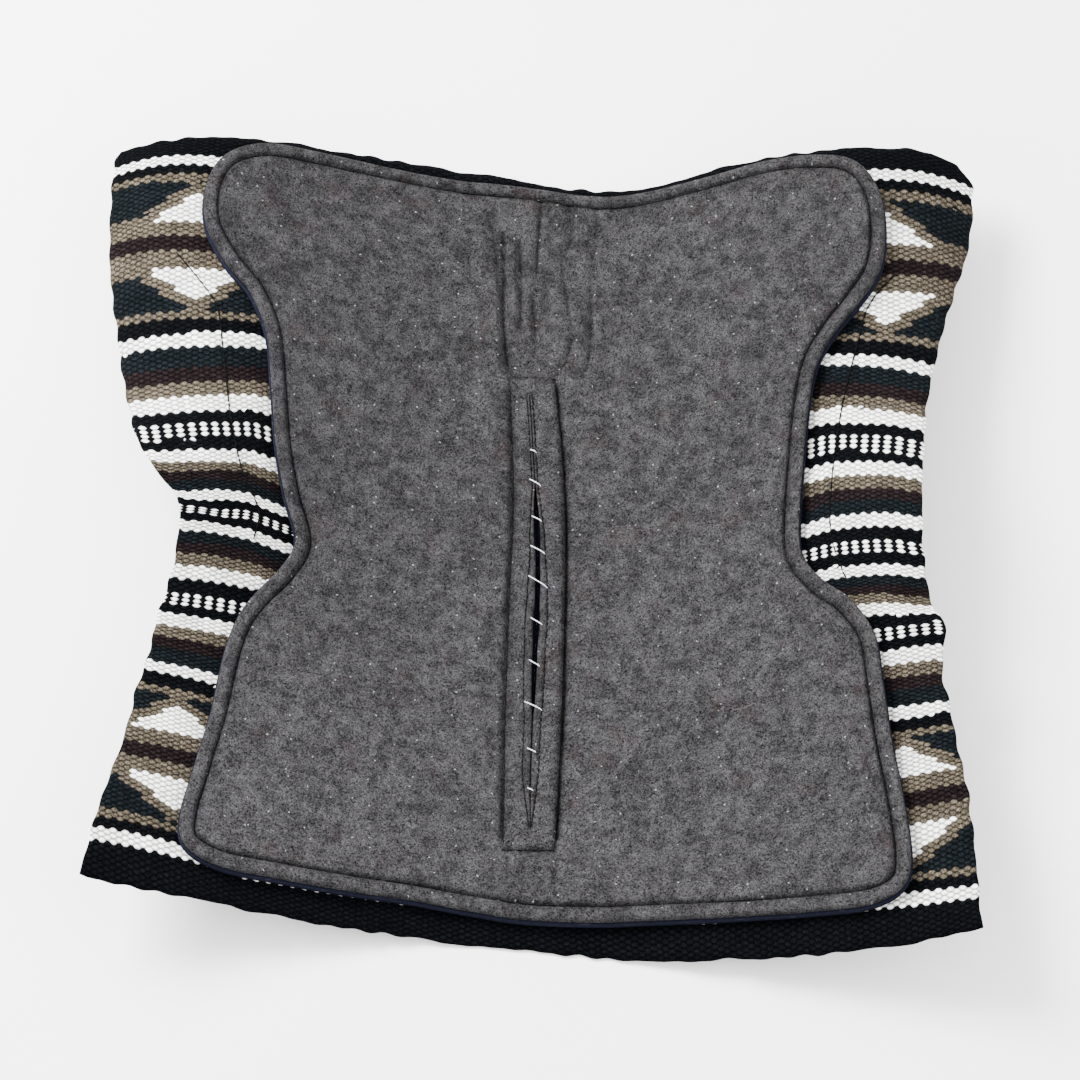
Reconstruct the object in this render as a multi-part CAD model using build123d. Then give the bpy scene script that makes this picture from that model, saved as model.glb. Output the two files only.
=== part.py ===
from build123d import *
from math import exp
import os

os.makedirs("parts", exist_ok=True)

# Western saddle pad lying felt side up.  Millimetres.
# +X to the horse's side on the right, +Y to the withers end, +Z up from the floor.
# Every layer is a slab of one sagging surface, so the layers nest like the real ones.

blanket_thick = 5.0
core_thick = 8.0
felt_thick = 11.0
facing_thick = 2.0
leather_thick = 3.0
layer_gap = 0.2
spine_x = -4.0
kerf = 0.15
flat_half = 60.0
front_rise = 205.0
front_droop = 140.0
rear_rise = 105.0
left_buckle = 48.0
right_buckle = 42.0
slit_half = 2.5
slit_front = 75.0
slit_rear = -182.0
lip_width = 7.0
lip_front = 168.0
lip_rear = -290.0
edge_inset = 14.0
ring_count = 60
facing_inset = 2.5
thread_r = 0.8
basting_r = 0.9
half_extent = 450.0
grid_step = 25.0

blanket_bottom = 0.0
blanket_top = blanket_bottom + blanket_thick
core_bottom = blanket_top + layer_gap
core_top = core_bottom + core_thick
felt_bottom = core_top + layer_gap
felt_top = felt_bottom + felt_thick
facing_bottom = felt_top + layer_gap
facing_top = facing_bottom + facing_thick


def smooth(value):
    t = min(max(value, 0.0), 1.0)
    return t * t * (3.0 - 2.0 * t)


def rise(x, y):
    """Height of the underside above the floor: flat along the spine, raised at both sides."""
    t = max((abs(x) - flat_half) / 360.0, 0.0)
    frontness = 1.0 / (1.0 + exp(-(y + 23.0) / 80.0))
    front = front_rise * t ** 1.5 - front_droop * t ** 4
    rear = rear_rise * t ** 1.45
    left = left_buckle * smooth((-x - 190.0) / 140.0) * exp(-(((y - 32.0) / 95.0) ** 2))
    right = right_buckle * smooth((x - 210.0) / 140.0) * exp(-(((y + 3.0) / 120.0) ** 2))
    return front * frontness + rear * (1.0 - frontness) + left + right - 0.4


steps = int(2 * half_extent / grid_step)
grid = []
for i in range(steps + 1):
    x = -half_extent + i * grid_step
    row = []
    for j in range(steps + 1):
        y = -half_extent + j * grid_step
        row.append(Vector(x, y, rise(x, y)))
    grid.append(row)
sheet_face = Face.make_surface_from_array_of_points(grid, tol=0.1, min_deg=3, max_deg=3)


def slab(low, high):
    """The sagging surface thickened between two heights above the underside."""
    moved = sheet_face.moved(Location((0, 0, low)))
    return Solid.extrude(moved, Vector(0, 0, high - low))


def prism(face):
    """An outline in plan carried up through the whole height of the pad."""
    return extrude(face.moved(Location((0, 0, -20))), amount=260, dir=(0, 0, 1))


def half_space(side):
    """Everything on one side of the spine, less the saw kerf between the two sides."""
    near = spine_x + side * kerf
    centre_x = near + side * 300.0
    return Pos(centre_x, 0, 100) * Box(600, 1200, 400)


def layer(low, high, outline, side):
    piece = slab(low, high) & prism(outline)
    piece = piece & half_space(side)
    return piece


def closed_outline(*runs):
    """A flat face bounded by splines that meet end to end at the corners."""
    edges = [Edge.make_spline([Vector(x, y, 0) for x, y in run]) for run in runs]
    return Face(Wire(edges))


def smooth_outline(points):
    curve = Edge.make_spline([Vector(x, y, 0) for x, y in points], periodic=True)
    return Face(Wire([curve]))


def offset_points(face, amount, count):
    """Points spaced evenly round a copy of the outline grown or shrunk in plan."""
    wire = offset(face, amount=amount).face().outer_wire()
    return [wire.position_at(k / count) for k in range(count)]


def thread(points, height, radius, winding=False):
    """A sewing thread laid over the surface through points in plan; a winding one turns with its own curve."""
    lift = height + radius * 1.6 + 0.2
    path = Edge.make_spline([Vector(x, y, rise(x, y) + lift) for x, y in points])
    section = Plane(origin=path @ 0, z_dir=path % 0) * Circle(radius)
    return sweep(section, path=path, is_frenet=winding)


def across(run, y):
    """The x of a run of points, front to rear, at a given y."""
    for (x0, y0), (x1, y1) in zip(run, run[1:]):
        if y0 >= y >= y1:
            return x0 + (x1 - x0) * (y0 - y) / (y0 - y1)
    return run[-1][0]


def save(shape, name):
    solids = shape.solids()
    body = solids[0] if len(solids) == 1 else Compound(children=list(solids))
    body.label = name
    export_step(body, "parts/" + name + ".step")
    print(name, len(solids), round(body.volume / 1000.0, 2))


# Blanket: four woven edges, waisted at both flanks.
left_edge = [
    (-414, 412), (-420, 394), (-421, 326), (-415, 244), (-403, 171), (-393, 116), (-384, 71),
    (-367, 34), (-342, 4), (-341, -36), (-355, -89), (-371, -159), (-388, -232), (-408, -306),
    (-422, -371),
]
rear_edge = [
    (-422, -371), (-366, -376), (-313, -380), (-245, -386), (-176, -391), (-102, -396), (-37, -402),
    (56, -412), (130, -419), (239, -425), (329, -427), (404, -421),
]
right_edge = [
    (404, -421), (400, -354), (395, -285), (383, -213), (376, -160), (378, -122), (364, -85),
    (360, -45), (361, 20), (368, 100), (380, 170), (401, 243), (419, 310), (425, 372),
]
front_edge = [
    (425, 372), (416, 390), (395, 398), (353, 403), (285, 408), (207, 412), (160, 410), (118, 406),
    (80, 405), (20, 410), (-60, 426), (-149, 428), (-218, 424), (-285, 420), (-334, 416), (-373, 413),
    (-414, 412),
]
blanket_face = closed_outline(left_edge, rear_edge, right_edge, front_edge)

# Felt: two broad lobes a side joined by a narrow waist under the saddle's rigging.
felt_points = [
    (-4, 396), (-60, 401), (-139, 404), (-216, 405), (-270, 406), (-308, 389), (-325, 355), (-325, 312),
    (-305, 271), (-280, 240), (-264, 199), (-258, 144), (-252, 76), (-243, 27), (-232, -15),
    (-246, -47), (-268, -75), (-284, -100), (-296, -137), (-307, -198), (-320, -251), (-332, -305),
    (-327, -333), (-296, -349), (-245, -354), (-180, -359), (-120, -363), (-66, -371), (-18, -379),
    (40, -382), (100, -382), (180, -385), (250, -388), (303, -388), (333, -375), (341, -346),
    (335, -283), (327, -232), (320, -172), (313, -125), (292, -89), (268, -65), (250, -37), (246, -8),
    (251, 60), (258, 124), (267, 166), (284, 196), (308, 226), (328, 258), (335, 300), (330, 348),
    (308, 382), (270, 395), (220, 399), (178, 396), (138, 393), (95, 390), (45, 391),
]
felt_face = smooth_outline(felt_points)
core_face = smooth_outline([(p.X, p.Y) for p in offset_points(felt_face, 2.0, 60)])
ring = offset_points(felt_face, -edge_inset, ring_count)

# Facing around the spine slit: a long strip with square ends, a little wider at mid length.
facing_left = [(-30, 186), (-26, 58), (-30, -60), (-33, -160), (-35, -313)]
facing_right = [(15, 186), (23, 86), (25, -12), (21, -180), (14, -313)]

slot_box = Pos(spine_x, (slit_front + slit_rear) / 2, 100) * Box(2 * slit_half, slit_front - slit_rear, 400)

# Wear leathers on the show side, under the flanks.
leather_left_points = [
    (-350, 300), (-318, 262), (-303, 225), (-300, 160), (-288, 90), (-272, 40), (-266, 8), (-276, -30),
    (-318, -28), (-330, 0), (-350, 36), (-368, 90), (-380, 160), (-392, 230), (-392, 290), (-376, 318),
]
leather_right_points = [
    (342, 268), (318, 232), (304, 190), (290, 128), (279, 55), (275, -10), (286, -55), (300, -84),
    (334, -78), (344, -20), (344, 40), (350, 104), (362, 168), (378, 230), (384, 270), (366, 290),
]

sides = {"left": -1, "right": 1}
for name, side in sides.items():
    floor_cut = Pos(0, 0, -50) * Box(1200, 1200, 100)

    blanket = layer(blanket_bottom, blanket_top, blanket_face, side) - floor_cut
    save(blanket, "blanket_" + name)

    core = layer(core_bottom, core_top, core_face, side)
    save(core, "core_" + name)

    felt = layer(felt_bottom, felt_top, felt_face, side) - slot_box
    save(felt, "felt_" + name)

    facing_run = facing_left if side < 0 else facing_right
    inner = spine_x + side * (slit_half + lip_width + 0.2)
    outer = Edge.make_spline([Vector(x, y, 0) for x, y in facing_run])
    front_end = Edge.make_line(Vector(inner, 186, 0), Vector(facing_run[0][0], 186, 0))
    rear_end = Edge.make_line(Vector(facing_run[-1][0], -313, 0), Vector(inner, -313, 0))
    inside = Edge.make_line(Vector(inner, -313, 0), Vector(inner, 186, 0))
    facing_face = Face(Wire([front_end, outer, rear_end, inside]))
    save(layer(facing_bottom, facing_top, facing_face, side), "facing_" + name)

    lip_x = spine_x + side * (slit_half + lip_width / 2)
    lip_centre = (lip_front + lip_rear) / 2
    lip_face = Face.make_rect(lip_width, lip_front - lip_rear, Plane((lip_x, lip_centre, 0)))
    save(layer(facing_bottom, facing_top + 0.3, lip_face, side), "lip_" + name)

    leather_points = leather_left_points if side < 0 else leather_right_points
    leather_face = smooth_outline(leather_points)
    leather = layer(-layer_gap - leather_thick, -layer_gap, leather_face, side)
    save(leather, "leather_" + name)

    # Thread round the felt, from the front of the spine to the rear of it.
    on_side = [side * (p.X - spine_x) > 3.0 for p in ring]
    step = next(k for k in range(ring_count) if on_side[k] and not on_side[k - 1])
    ordered = []
    while on_side[step % ring_count]:
        ordered.append(ring[step % ring_count])
        step += 1
    if ordered[0].Y < 0:
        ordered.reverse()
    run = [(p.X, p.Y) for p in ordered]
    save(thread(run, felt_top, thread_r, winding=True), "edge_thread_" + name)

    # Thread round the facing, in from its edge.
    near = inner + side * 2.0
    first_x = facing_run[0][0] - side * facing_inset
    last_x = facing_run[-1][0] - side * facing_inset
    path_points = [(near, 182.0), (first_x - side * 2.5, 181.8), (first_x, 178.0)]
    path_points += [(across(facing_run, y) - side * facing_inset, y) for y in range(160, -300, -25)]
    path_points += [(last_x, -305.0), (last_x - side * 2.5, -308.8), (near, -309.0)]
    save(thread(path_points, facing_top, thread_r), "facing_thread_" + name)

    lip_run = [(lip_x + side * 2.0, lip_front - 6), (lip_x + side * 2.0, lip_rear + 6)]
    save(thread(lip_run, facing_top + 0.3, thread_r), "lip_thread_" + name)

    hang = -2 * layer_gap - leather_thick - thread_r * 3.2
    leather_run = [(p.X, p.Y) for p in offset_points(leather_face, -5.0, 50)]
    save(thread(leather_run, hang, thread_r), "leather_thread_" + name)

    # Basting across the slit: this side's half of each slanting stitch.
    stitches = []
    for y in (113, 76, 37, 2, -31, -74, -114, -158, -203, -244):
        reach = 4.0 if y > 100 or y < -200 else 6.0
        a = Vector(spine_x + side * 0.4, y - side * 0.3, 0)
        b = Vector(spine_x + side * reach, y - side * reach * 0.7, 0)
        lift = facing_top + 0.3 + basting_r + 0.1
        a.Z = rise(a.X, a.Y) + lift
        b.Z = rise(b.X, b.Y) + lift
        stitches.append(Solid.make_cylinder(basting_r, (b - a).length, Plane(origin=a, z_dir=b - a)))
    save(Compound(children=stitches), "basting_" + name)
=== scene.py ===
import math
import bpy
import numpy as np
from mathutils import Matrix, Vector


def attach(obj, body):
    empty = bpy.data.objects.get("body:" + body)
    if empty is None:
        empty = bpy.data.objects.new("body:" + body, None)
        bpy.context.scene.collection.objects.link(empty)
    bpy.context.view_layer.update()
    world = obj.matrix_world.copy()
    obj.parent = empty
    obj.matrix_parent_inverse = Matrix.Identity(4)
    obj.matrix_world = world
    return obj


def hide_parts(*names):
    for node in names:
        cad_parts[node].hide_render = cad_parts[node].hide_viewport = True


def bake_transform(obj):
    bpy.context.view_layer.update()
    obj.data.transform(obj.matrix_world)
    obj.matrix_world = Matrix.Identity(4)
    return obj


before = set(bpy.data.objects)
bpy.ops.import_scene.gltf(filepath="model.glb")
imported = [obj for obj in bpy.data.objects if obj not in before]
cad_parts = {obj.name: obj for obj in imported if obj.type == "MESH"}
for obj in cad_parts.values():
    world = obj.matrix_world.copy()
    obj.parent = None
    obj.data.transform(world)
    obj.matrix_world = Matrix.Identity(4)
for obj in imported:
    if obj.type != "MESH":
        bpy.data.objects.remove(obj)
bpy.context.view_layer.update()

MM = 0.001

# ---------------------------------------------------------------- sizes, in millimetres
SPINE_X = -4.0
FLAT_HALF = 60.0
CLOTH_W = 864.0
CLOTH_L = 813.0
BLANKET_TOP = 5.0
CORE_LOW, CORE_TOP = 5.2, 13.2
FELT_LOW, FELT_TOP = 13.4, 24.4
WARP = 5.76
PICK = 4.7
FLOAT_HALF_W, FLOAT_HALF_L = 4.9, 2.75
PATTERN_REACH = 420.0
ZIGZAG_MIDDLE = 284.5
ZIGZAG_START, ZIGZAG_END, ZIGZAG_PERIOD = 26.0, 839.0, 116.2
DOTS_AT = 107.5
EDGE_INSET = 14.0
PLY = 0.36


# ---------------------------------------------------------------- the sagging surface
def smooth(value):
    t = np.clip(value, 0.0, 1.0)
    return t * t * (3.0 - 2.0 * t)


def rise(x, y):
    """Height of the pad's underside above the floor: flat along the spine, raised at both sides."""
    t = np.maximum((np.abs(x) - FLAT_HALF) / 360.0, 0.0)
    frontness = 1.0 / (1.0 + np.exp(-(y + 23.0) / 80.0))
    front = 205.0 * t ** 1.5 - 140.0 * t ** 4
    rear = 105.0 * t ** 1.45
    left = 48.0 * smooth((-x - 190.0) / 140.0) * np.exp(-(((y - 32.0) / 95.0) ** 2))
    right = 42.0 * smooth((x - 210.0) / 140.0) * np.exp(-(((y + 3.0) / 120.0) ** 2))
    return np.maximum(front * frontness + rear * (1.0 - frontness) + left + right - 0.4, 0.0)


def ripple(x, y, size, seed):
    """Smooth seeded unevenness between about -1 and 1, with bumps of about the given size."""
    rng = np.random.default_rng(seed)
    total = np.zeros_like(x, dtype=float)
    for _ in range(10):
        angle = rng.uniform(0, math.tau)
        length = size * rng.uniform(0.7, 1.6)
        phase = rng.uniform(0, math.tau)
        total += np.sin((x * math.cos(angle) + y * math.sin(angle)) * math.tau / length + phase)
    return total / 4.5


def curve(points, count, closed=False):
    """Evenly spaced points along a smooth curve through the given points."""
    p = np.array(points, dtype=float)
    if closed:
        p = np.vstack([p[-1], p, p[0], p[1]])
    else:
        p = np.vstack([2 * p[0] - p[1], p, 2 * p[-1] - p[-2]])
    t = np.linspace(0, 1, 24, endpoint=False)[:, None]
    fine = []
    for a, b, c, d in zip(p, p[1:], p[2:], p[3:]):
        fine.append(0.5 * (2 * b + (c - a) * t + (2 * a - 5 * b + 4 * c - d) * t ** 2
                           + (3 * b - a - 3 * c + d) * t ** 3))
    fine = np.vstack(fine + [p[-2][None, :]])
    step = np.linalg.norm(np.diff(fine, axis=0), axis=1)
    run = np.concatenate([[0.0], np.cumsum(step)])
    at = np.linspace(0, run[-1], count, endpoint=not closed)
    return np.stack([np.interp(at, run, fine[:, k]) for k in range(p.shape[1])], axis=1)


def distance_to(line, x, y):
    """Distance in plan from every (x, y) to a run of points."""
    flat = np.stack([x.ravel(), y.ravel()], axis=1)
    best = np.full(len(flat), 1e9)
    for a, b in zip(line, line[1:]):
        d = b - a
        t = np.clip(((flat - a) @ d) / max(d @ d, 1e-9), 0, 1)
        best = np.minimum(best, np.linalg.norm(flat - a - t[:, None] * d, axis=1))
    return best.reshape(x.shape)


# ---------------------------------------------------------------- mesh helpers
def new_object(name, verts, faces, material):
    mesh = bpy.data.meshes.new(name)
    mesh.from_pydata((np.asarray(verts) * MM).tolist(), [], faces)
    mesh.update()
    mesh.polygons.foreach_set("use_smooth", [True] * len(mesh.polygons))
    obj = bpy.data.objects.new(name, mesh)
    bpy.context.scene.collection.objects.link(obj)
    mesh.materials.append(material)
    return obj


def quads(rows, cols, start=0, wrap=False, flip=False):
    i = np.arange(rows - 1)[:, None]
    j = np.arange(cols if wrap else cols - 1)[None, :]
    k = (j + 1) % cols
    a, b, c, d = i * cols + j, i * cols + k, (i + 1) * cols + k, (i + 1) * cols + j
    q = np.stack([a, b, c, d] if not flip else [a, d, c, b], axis=-1).reshape(-1, 4)
    return (q + start).tolist()


def closed_sheet(name, top, low, material):
    """A closed sheet from two grids of points that share their outer edge's shape."""
    rows, cols = top.shape[:2]
    n = rows * cols
    verts = np.vstack([top.reshape(-1, 3), low.reshape(-1, 3)])
    faces = quads(rows, cols) + quads(rows, cols, start=n, flip=True)
    edge = list(range(cols)) + [i * cols + cols - 1 for i in range(1, rows)]
    edge += [(rows - 1) * cols + j for j in range(cols - 2, -1, -1)]
    edge += [i * cols for i in range(rows - 2, 0, -1)]
    for a, b in zip(edge, edge[1:] + edge[:1]):
        faces.append([a, a + n, b + n, b])
    return new_object(name, verts, faces, material)


def ring_solid(name, rings, material):
    """A closed solid skinned over a loop of rings, each the same number of points."""
    rows, cols = rings.shape[:2]
    faces = quads(rows, cols, wrap=True)
    last = (rows - 1) * cols
    for j in range(cols):
        k = (j + 1) % cols
        faces.append([last + j, last + k, k, j])
    return new_object(name, rings.reshape(-1, 3), faces, material)


def inward(outline):
    """Unit vectors pointing into an anticlockwise or clockwise closed outline."""
    d = np.roll(outline, -1, axis=0) - np.roll(outline, 1, axis=0)
    n = np.stack([-d[:, 1], d[:, 0]], axis=1)
    n /= np.linalg.norm(n, axis=1)[:, None]
    area = np.sum(outline[:, 0] * np.roll(outline[:, 1], -1) - np.roll(outline[:, 0], -1) * outline[:, 1])
    return n if area > 0 else -n


def stitches(name, path, height, material, length=6.5, gap=2.2, radius=0.75, wobble=0.35, seed=3, sink=0.25):
    """Separate stitches of thread lying along a run of points in plan."""
    rng = np.random.default_rng(seed)
    step = np.linalg.norm(np.diff(path, axis=0), axis=1)
    run = np.concatenate([[0.0], np.cumsum(step)])
    verts, faces = [], []
    sides, rows = 6, 6
    at = gap / 2
    while at + length < run[-1]:
        long = length * rng.uniform(0.9, 1.08)
        t = at + long * np.linspace(0, 1, rows)
        x = np.interp(t, run, path[:, 0])
        y = np.interp(t, run, path[:, 1])
        dx, dy = x[-1] - x[0], y[-1] - y[0]
        size = math.hypot(dx, dy) or 1.0
        nx, ny = -dy / size, dx / size
        slant = rng.normal(0, wobble)
        lean = np.linspace(-0.5, 0.5, rows) * slant
        arch = np.sin(np.linspace(0, math.pi, rows))
        z = rise(x, y) + height - sink + radius * (arch - 0.6)
        fat = radius * (0.45 + 0.55 * arch ** 0.5)
        base = len(verts)
        for r in range(rows):
            for s in range(sides):
                a = math.tau * s / sides
                off = fat[r] * math.cos(a) + lean[r]
                verts.append((x[r] + nx * off, y[r] + ny * off, z[r] + fat[r] * math.sin(a)))
        faces += quads(rows, sides, start=base, wrap=True)
        faces.append([base + s for s in range(sides)][::-1])
        faces.append([base + (rows - 1) * sides + s for s in range(sides)])
        at += long + gap * rng.uniform(0.85, 1.15)
    return new_object(name, verts, faces, material)


def tube(points, radius, sides=8):
    """Vertices and faces of a thread through 3-D points, with rounded ends."""
    p = np.asarray(points, dtype=float)
    d = np.gradient(p, axis=0)
    d /= np.linalg.norm(d, axis=1)[:, None]
    side = np.cross(d, np.array([0, 0, 1.0]))
    side /= np.maximum(np.linalg.norm(side, axis=1), 1e-6)[:, None]
    up = np.cross(side, d)
    n = len(p)
    fat = radius * np.minimum(1.0, 0.35 + np.minimum(np.arange(n), np.arange(n)[::-1]) * 0.4)
    a = math.tau * np.arange(sides) / sides
    round_it = side[:, None] * np.cos(a)[None, :, None] + up[:, None] * np.sin(a)[None, :, None]
    v = p[:, None] + fat[:, None, None] * round_it
    faces = quads(n, sides, wrap=True)
    faces.append(list(range(sides))[::-1])
    faces.append([(n - 1) * sides + s for s in range(sides)])
    return v.reshape(-1, 3), faces


def joined(name, parts, material):
    verts, faces = [], []
    for v, f in parts:
        faces += [[i + len(verts) for i in face] for face in f]
        verts += v.tolist()
    return new_object(name, verts, faces, material)


# ---------------------------------------------------------------- node helpers
class Shader:
    """A small wrapper that keeps the node trees readable."""

    def __init__(self, name):
        self.material = bpy.data.materials.new(name)
        self.material.use_nodes = True
        self.tree = self.material.node_tree
        self.tree.nodes.clear()
        self.out = self.node("ShaderNodeOutputMaterial")
        self.bsdf = self.node("ShaderNodeBsdfPrincipled")
        self.tree.links.new(self.bsdf.outputs[0], self.out.inputs[0])

    def node(self, kind, **settings):
        made = self.tree.nodes.new(kind)
        for key, value in settings.items():
            setattr(made, key, value)
        return made

    def feed(self, socket, value):
        if isinstance(value, bpy.types.NodeSocket):
            self.tree.links.new(value, socket)
        elif isinstance(value, (tuple, list)) and len(value) == 3 and socket.type == "RGBA":
            socket.default_value = (*value, 1.0)
        else:
            socket.default_value = value

    def math(self, operation, *values):
        made = self.node("ShaderNodeMath", operation=operation)
        for socket, value in zip(made.inputs, values):
            self.feed(socket, value)
        return made.outputs[0]

    def mix(self, factor, a, b, mode="MIX"):
        made = self.node("ShaderNodeMix", data_type="RGBA", blend_type=mode)
        self.feed(made.inputs[0], factor)
        self.feed(made.inputs[6], a)
        self.feed(made.inputs[7], b)
        return made.outputs[2]

    def noise(self, vector, scale, detail=2.0, rough=0.5, stretch=None):
        made = self.node("ShaderNodeTexNoise")
        if stretch:
            mapping = self.node("ShaderNodeMapping")
            self.feed(mapping.inputs[0], vector)
            mapping.inputs["Rotation"].default_value = stretch[1]
            mapping.inputs["Scale"].default_value = stretch[0]
            vector = mapping.outputs[0]
        self.feed(made.inputs["Vector"], vector)
        made.inputs["Scale"].default_value = scale
        made.inputs["Detail"].default_value = detail
        made.inputs["Roughness"].default_value = rough
        return made.outputs[0]

    def levels(self, value, low, high, to_low=0.0, to_high=1.0):
        made = self.node("ShaderNodeMapRange")
        for socket, number in zip(made.inputs, (value, low, high, to_low, to_high)):
            self.feed(socket, number)
        return made.outputs[0]

    def place(self):
        return self.node("ShaderNodeTexCoord").outputs["Object"]

    def attribute(self, name):
        return self.node("ShaderNodeAttribute", attribute_name=name).outputs["Vector"]

    def split(self, vector):
        made = self.node("ShaderNodeSeparateXYZ")
        self.feed(made.inputs[0], vector)
        return made.outputs

    def bump(self, height, strength, distance):
        made = self.node("ShaderNodeBump")
        made.inputs["Strength"].default_value = strength
        made.inputs["Distance"].default_value = distance
        self.feed(made.inputs["Height"], height)
        self.feed(self.bsdf.inputs["Normal"], made.outputs[0])

    def grey(self, value):
        made = self.node("ShaderNodeCombineColor")
        for socket in made.inputs:
            self.feed(socket, value)
        return made.outputs[0]

    def finish(self, roughness, specular):
        self.feed(self.bsdf.inputs["Roughness"], roughness)
        self.bsdf.inputs["Specular IOR Level"].default_value = specular
        return self.material


BLACK = (0.0016, 0.0018, 0.0024)
WHITE = (0.90, 0.90, 0.88)
TAUPE = (0.054, 0.045, 0.033)
TEAL = (0.0036, 0.0049, 0.0060)
MAROON = (0.0070, 0.0046, 0.0051)


def woven_wool():
    """Weft-faced wool, each float of yarn one colour, so stripes, zigzags and dots step as woven ones do."""
    s = Shader("woven_wool")
    u, v, _ = s.split(s.attribute("cloth"))
    place = s.place()
    hair = s.math("MULTIPLY", s.math("SUBTRACT", s.noise(place, 700.0, 2.0), 0.5), 1.3)
    uneven = s.math("ADD", v, hair)

    def from_centre(value, period, start):
        """How far a place is from the middle of its own cell in a row of repeats."""
        turn = s.math("FRACT", s.math("ADD", s.math("DIVIDE", value, period), start))
        return s.math("MULTIPLY", s.math("SUBTRACT", turn, 0.5), period)

    def float_of(start, rise_by):
        du = from_centre(u, 2 * WARP, start)
        dv = from_centre(uneven, PICK, rise_by)
        across_it = s.math("POWER", s.math("ABSOLUTE", s.math("DIVIDE", du, FLOAT_HALF_W)), 2.0)
        along_it = s.math("POWER", s.math("ABSOLUTE", s.math("DIVIDE", dv, FLOAT_HALF_L)), 2.0)
        return du, dv, s.math("SUBTRACT", 1.0, s.math("ADD", across_it, along_it))

    du_a, dv_a, top_a = float_of(0.25, 0.0)
    du_b, dv_b, top_b = float_of(0.75, 0.5)
    first = s.math("GREATER_THAN", top_a, top_b)

    def choose(a, b):
        made = s.node("ShaderNodeMix", data_type="FLOAT")
        s.feed(made.inputs[0], first)
        s.feed(made.inputs[2], b)
        s.feed(made.inputs[3], a)
        return made.outputs[0]

    middle_u = s.math("SUBTRACT", u, choose(du_a, du_b))
    middle_v = s.math("SUBTRACT", uneven, choose(dv_a, dv_b))
    drift = s.math("MULTIPLY", s.math("SUBTRACT", s.noise(place, 14.0, 1.0), 0.5), 4.0)
    off = s.math("ABSOLUTE", s.math("SUBTRACT", s.math("ADD", middle_v, drift), CLOTH_L / 2))

    # Each stripe's start, counted outwards from the middle of the pattern.
    stripes = [
        (0.0, BLACK), (18.5, WHITE), (33.5, TEAL), (47.5, MAROON), (60.5, TAUPE), (72.5, WHITE),
        (88.5, BLACK),
        (125.5, WHITE), (142.5, TAUPE), (155.5, MAROON), (170.5, TEAL), (187.5, WHITE), (200.5, BLACK),
        (214.5, TAUPE), (222.5, TEAL), (262.5, TAUPE), (277.5, MAROON), (291.5, TAUPE), (306.5, TEAL),
        (346.5, TAUPE), (354.5, BLACK), (364.5, WHITE), (376.5, BLACK),
    ]
    ramp = s.node("ShaderNodeValToRGB")
    ramp.color_ramp.interpolation = "CONSTANT"
    marks = ramp.color_ramp.elements
    while len(marks) > 1:
        marks.remove(marks[-1])
    marks[0].position = 0.0
    marks[0].color = (*BLACK, 1.0)
    for at, colour in stripes[1:]:
        mark = marks.new(at / PATTERN_REACH)
        mark.color = (*colour, 1.0)
    s.feed(ramp.inputs[0], s.math("DIVIDE", off, PATTERN_REACH))
    colour = ramp.outputs[0]

    # Zigzag: a taupe line between a dark side and a row of white triangles; it runs out before the selvages.
    from_band = s.math("ABSOLUTE", s.math("SUBTRACT", off, ZIGZAG_MIDDLE))
    past_inner = s.math("GREATER_THAN", from_band, 22.0)
    in_zone = s.math("MULTIPLY", past_inner, s.math("LESS_THAN", from_band, 62.0))
    turns = s.math("DIVIDE", s.math("SUBTRACT", middle_u, ZIGZAG_START), ZIGZAG_PERIOD)
    wave = s.math("FRACT", s.math("ADD", turns, 4.0))
    swing = s.math("SUBTRACT", s.math("MULTIPLY", wave, 2.0), 1.0)
    triangle = s.math("SUBTRACT", 1.0, s.math("ABSOLUTE", swing))
    past_start = s.math("GREATER_THAN", middle_u, ZIGZAG_START)
    inside = s.math("MULTIPLY", past_start, s.math("LESS_THAN", middle_u, ZIGZAG_END))
    triangle = s.math("MULTIPLY", triangle, inside)
    line = s.math("ADD", 23.5, s.math("MULTIPLY", triangle, 36.0))
    past = s.math("SUBTRACT", from_band, line)
    on_line = s.math("LESS_THAN", s.math("ABSOLUTE", past), 6.0)
    zone_colour = s.mix(s.math("LESS_THAN", past, 0.0), TEAL, WHITE)
    zone_colour = s.mix(on_line, zone_colour, TAUPE)
    colour = s.mix(in_zone, colour, zone_colour)

    # Dots: every second warp's floats are white in three narrow black rows.
    near_middle = s.math("LESS_THAN", off, 7.5)
    near_side = s.math("LESS_THAN", s.math("ABSOLUTE", s.math("SUBTRACT", off, DOTS_AT)), 8.6)
    dot = s.math("MULTIPLY", first, s.math("MAXIMUM", near_middle, near_side))
    colour = s.mix(dot, colour, WHITE)

    # Round floats with painted shade in the furrows between them, wool fibres, one yarn a little paler than
    # the next.
    height = s.math("SQRT", s.math("MAXIMUM", s.math("MAXIMUM", top_a, top_b), 0.0))
    fibre = s.noise(place, 1300.0, 3.0, 0.7, stretch=((0.22, 1.0, 1.0), (0.0, 0.0, 0.30)))
    yarn = s.node("ShaderNodeTexWhiteNoise", noise_dimensions="2D")
    seat = s.node("ShaderNodeCombineXYZ")
    s.feed(seat.inputs[0], s.math("ROUND", s.math("DIVIDE", middle_u, 23.0)))
    s.feed(seat.inputs[1], s.math("ROUND", s.math("DIVIDE", middle_v, PICK / 2)))
    s.feed(yarn.inputs["Vector"], seat.outputs[0])
    # Painted light and shade: each float is paler on its crown and darker towards its edges and the furrows.
    shade = s.levels(height, 0.69, 0.95, 0.30, 1.16)
    shade = s.math("MULTIPLY", shade, s.levels(fibre, 0.36, 0.64, 0.62, 1.32))
    shade = s.math("MULTIPLY", shade, s.levels(yarn.outputs["Value"], 0.0, 1.0, 0.78, 1.14))
    shade = s.math("MULTIPLY", shade, s.levels(s.noise(place, 45.0, 3.0), 0.3, 0.7, 0.88, 1.10))
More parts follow.
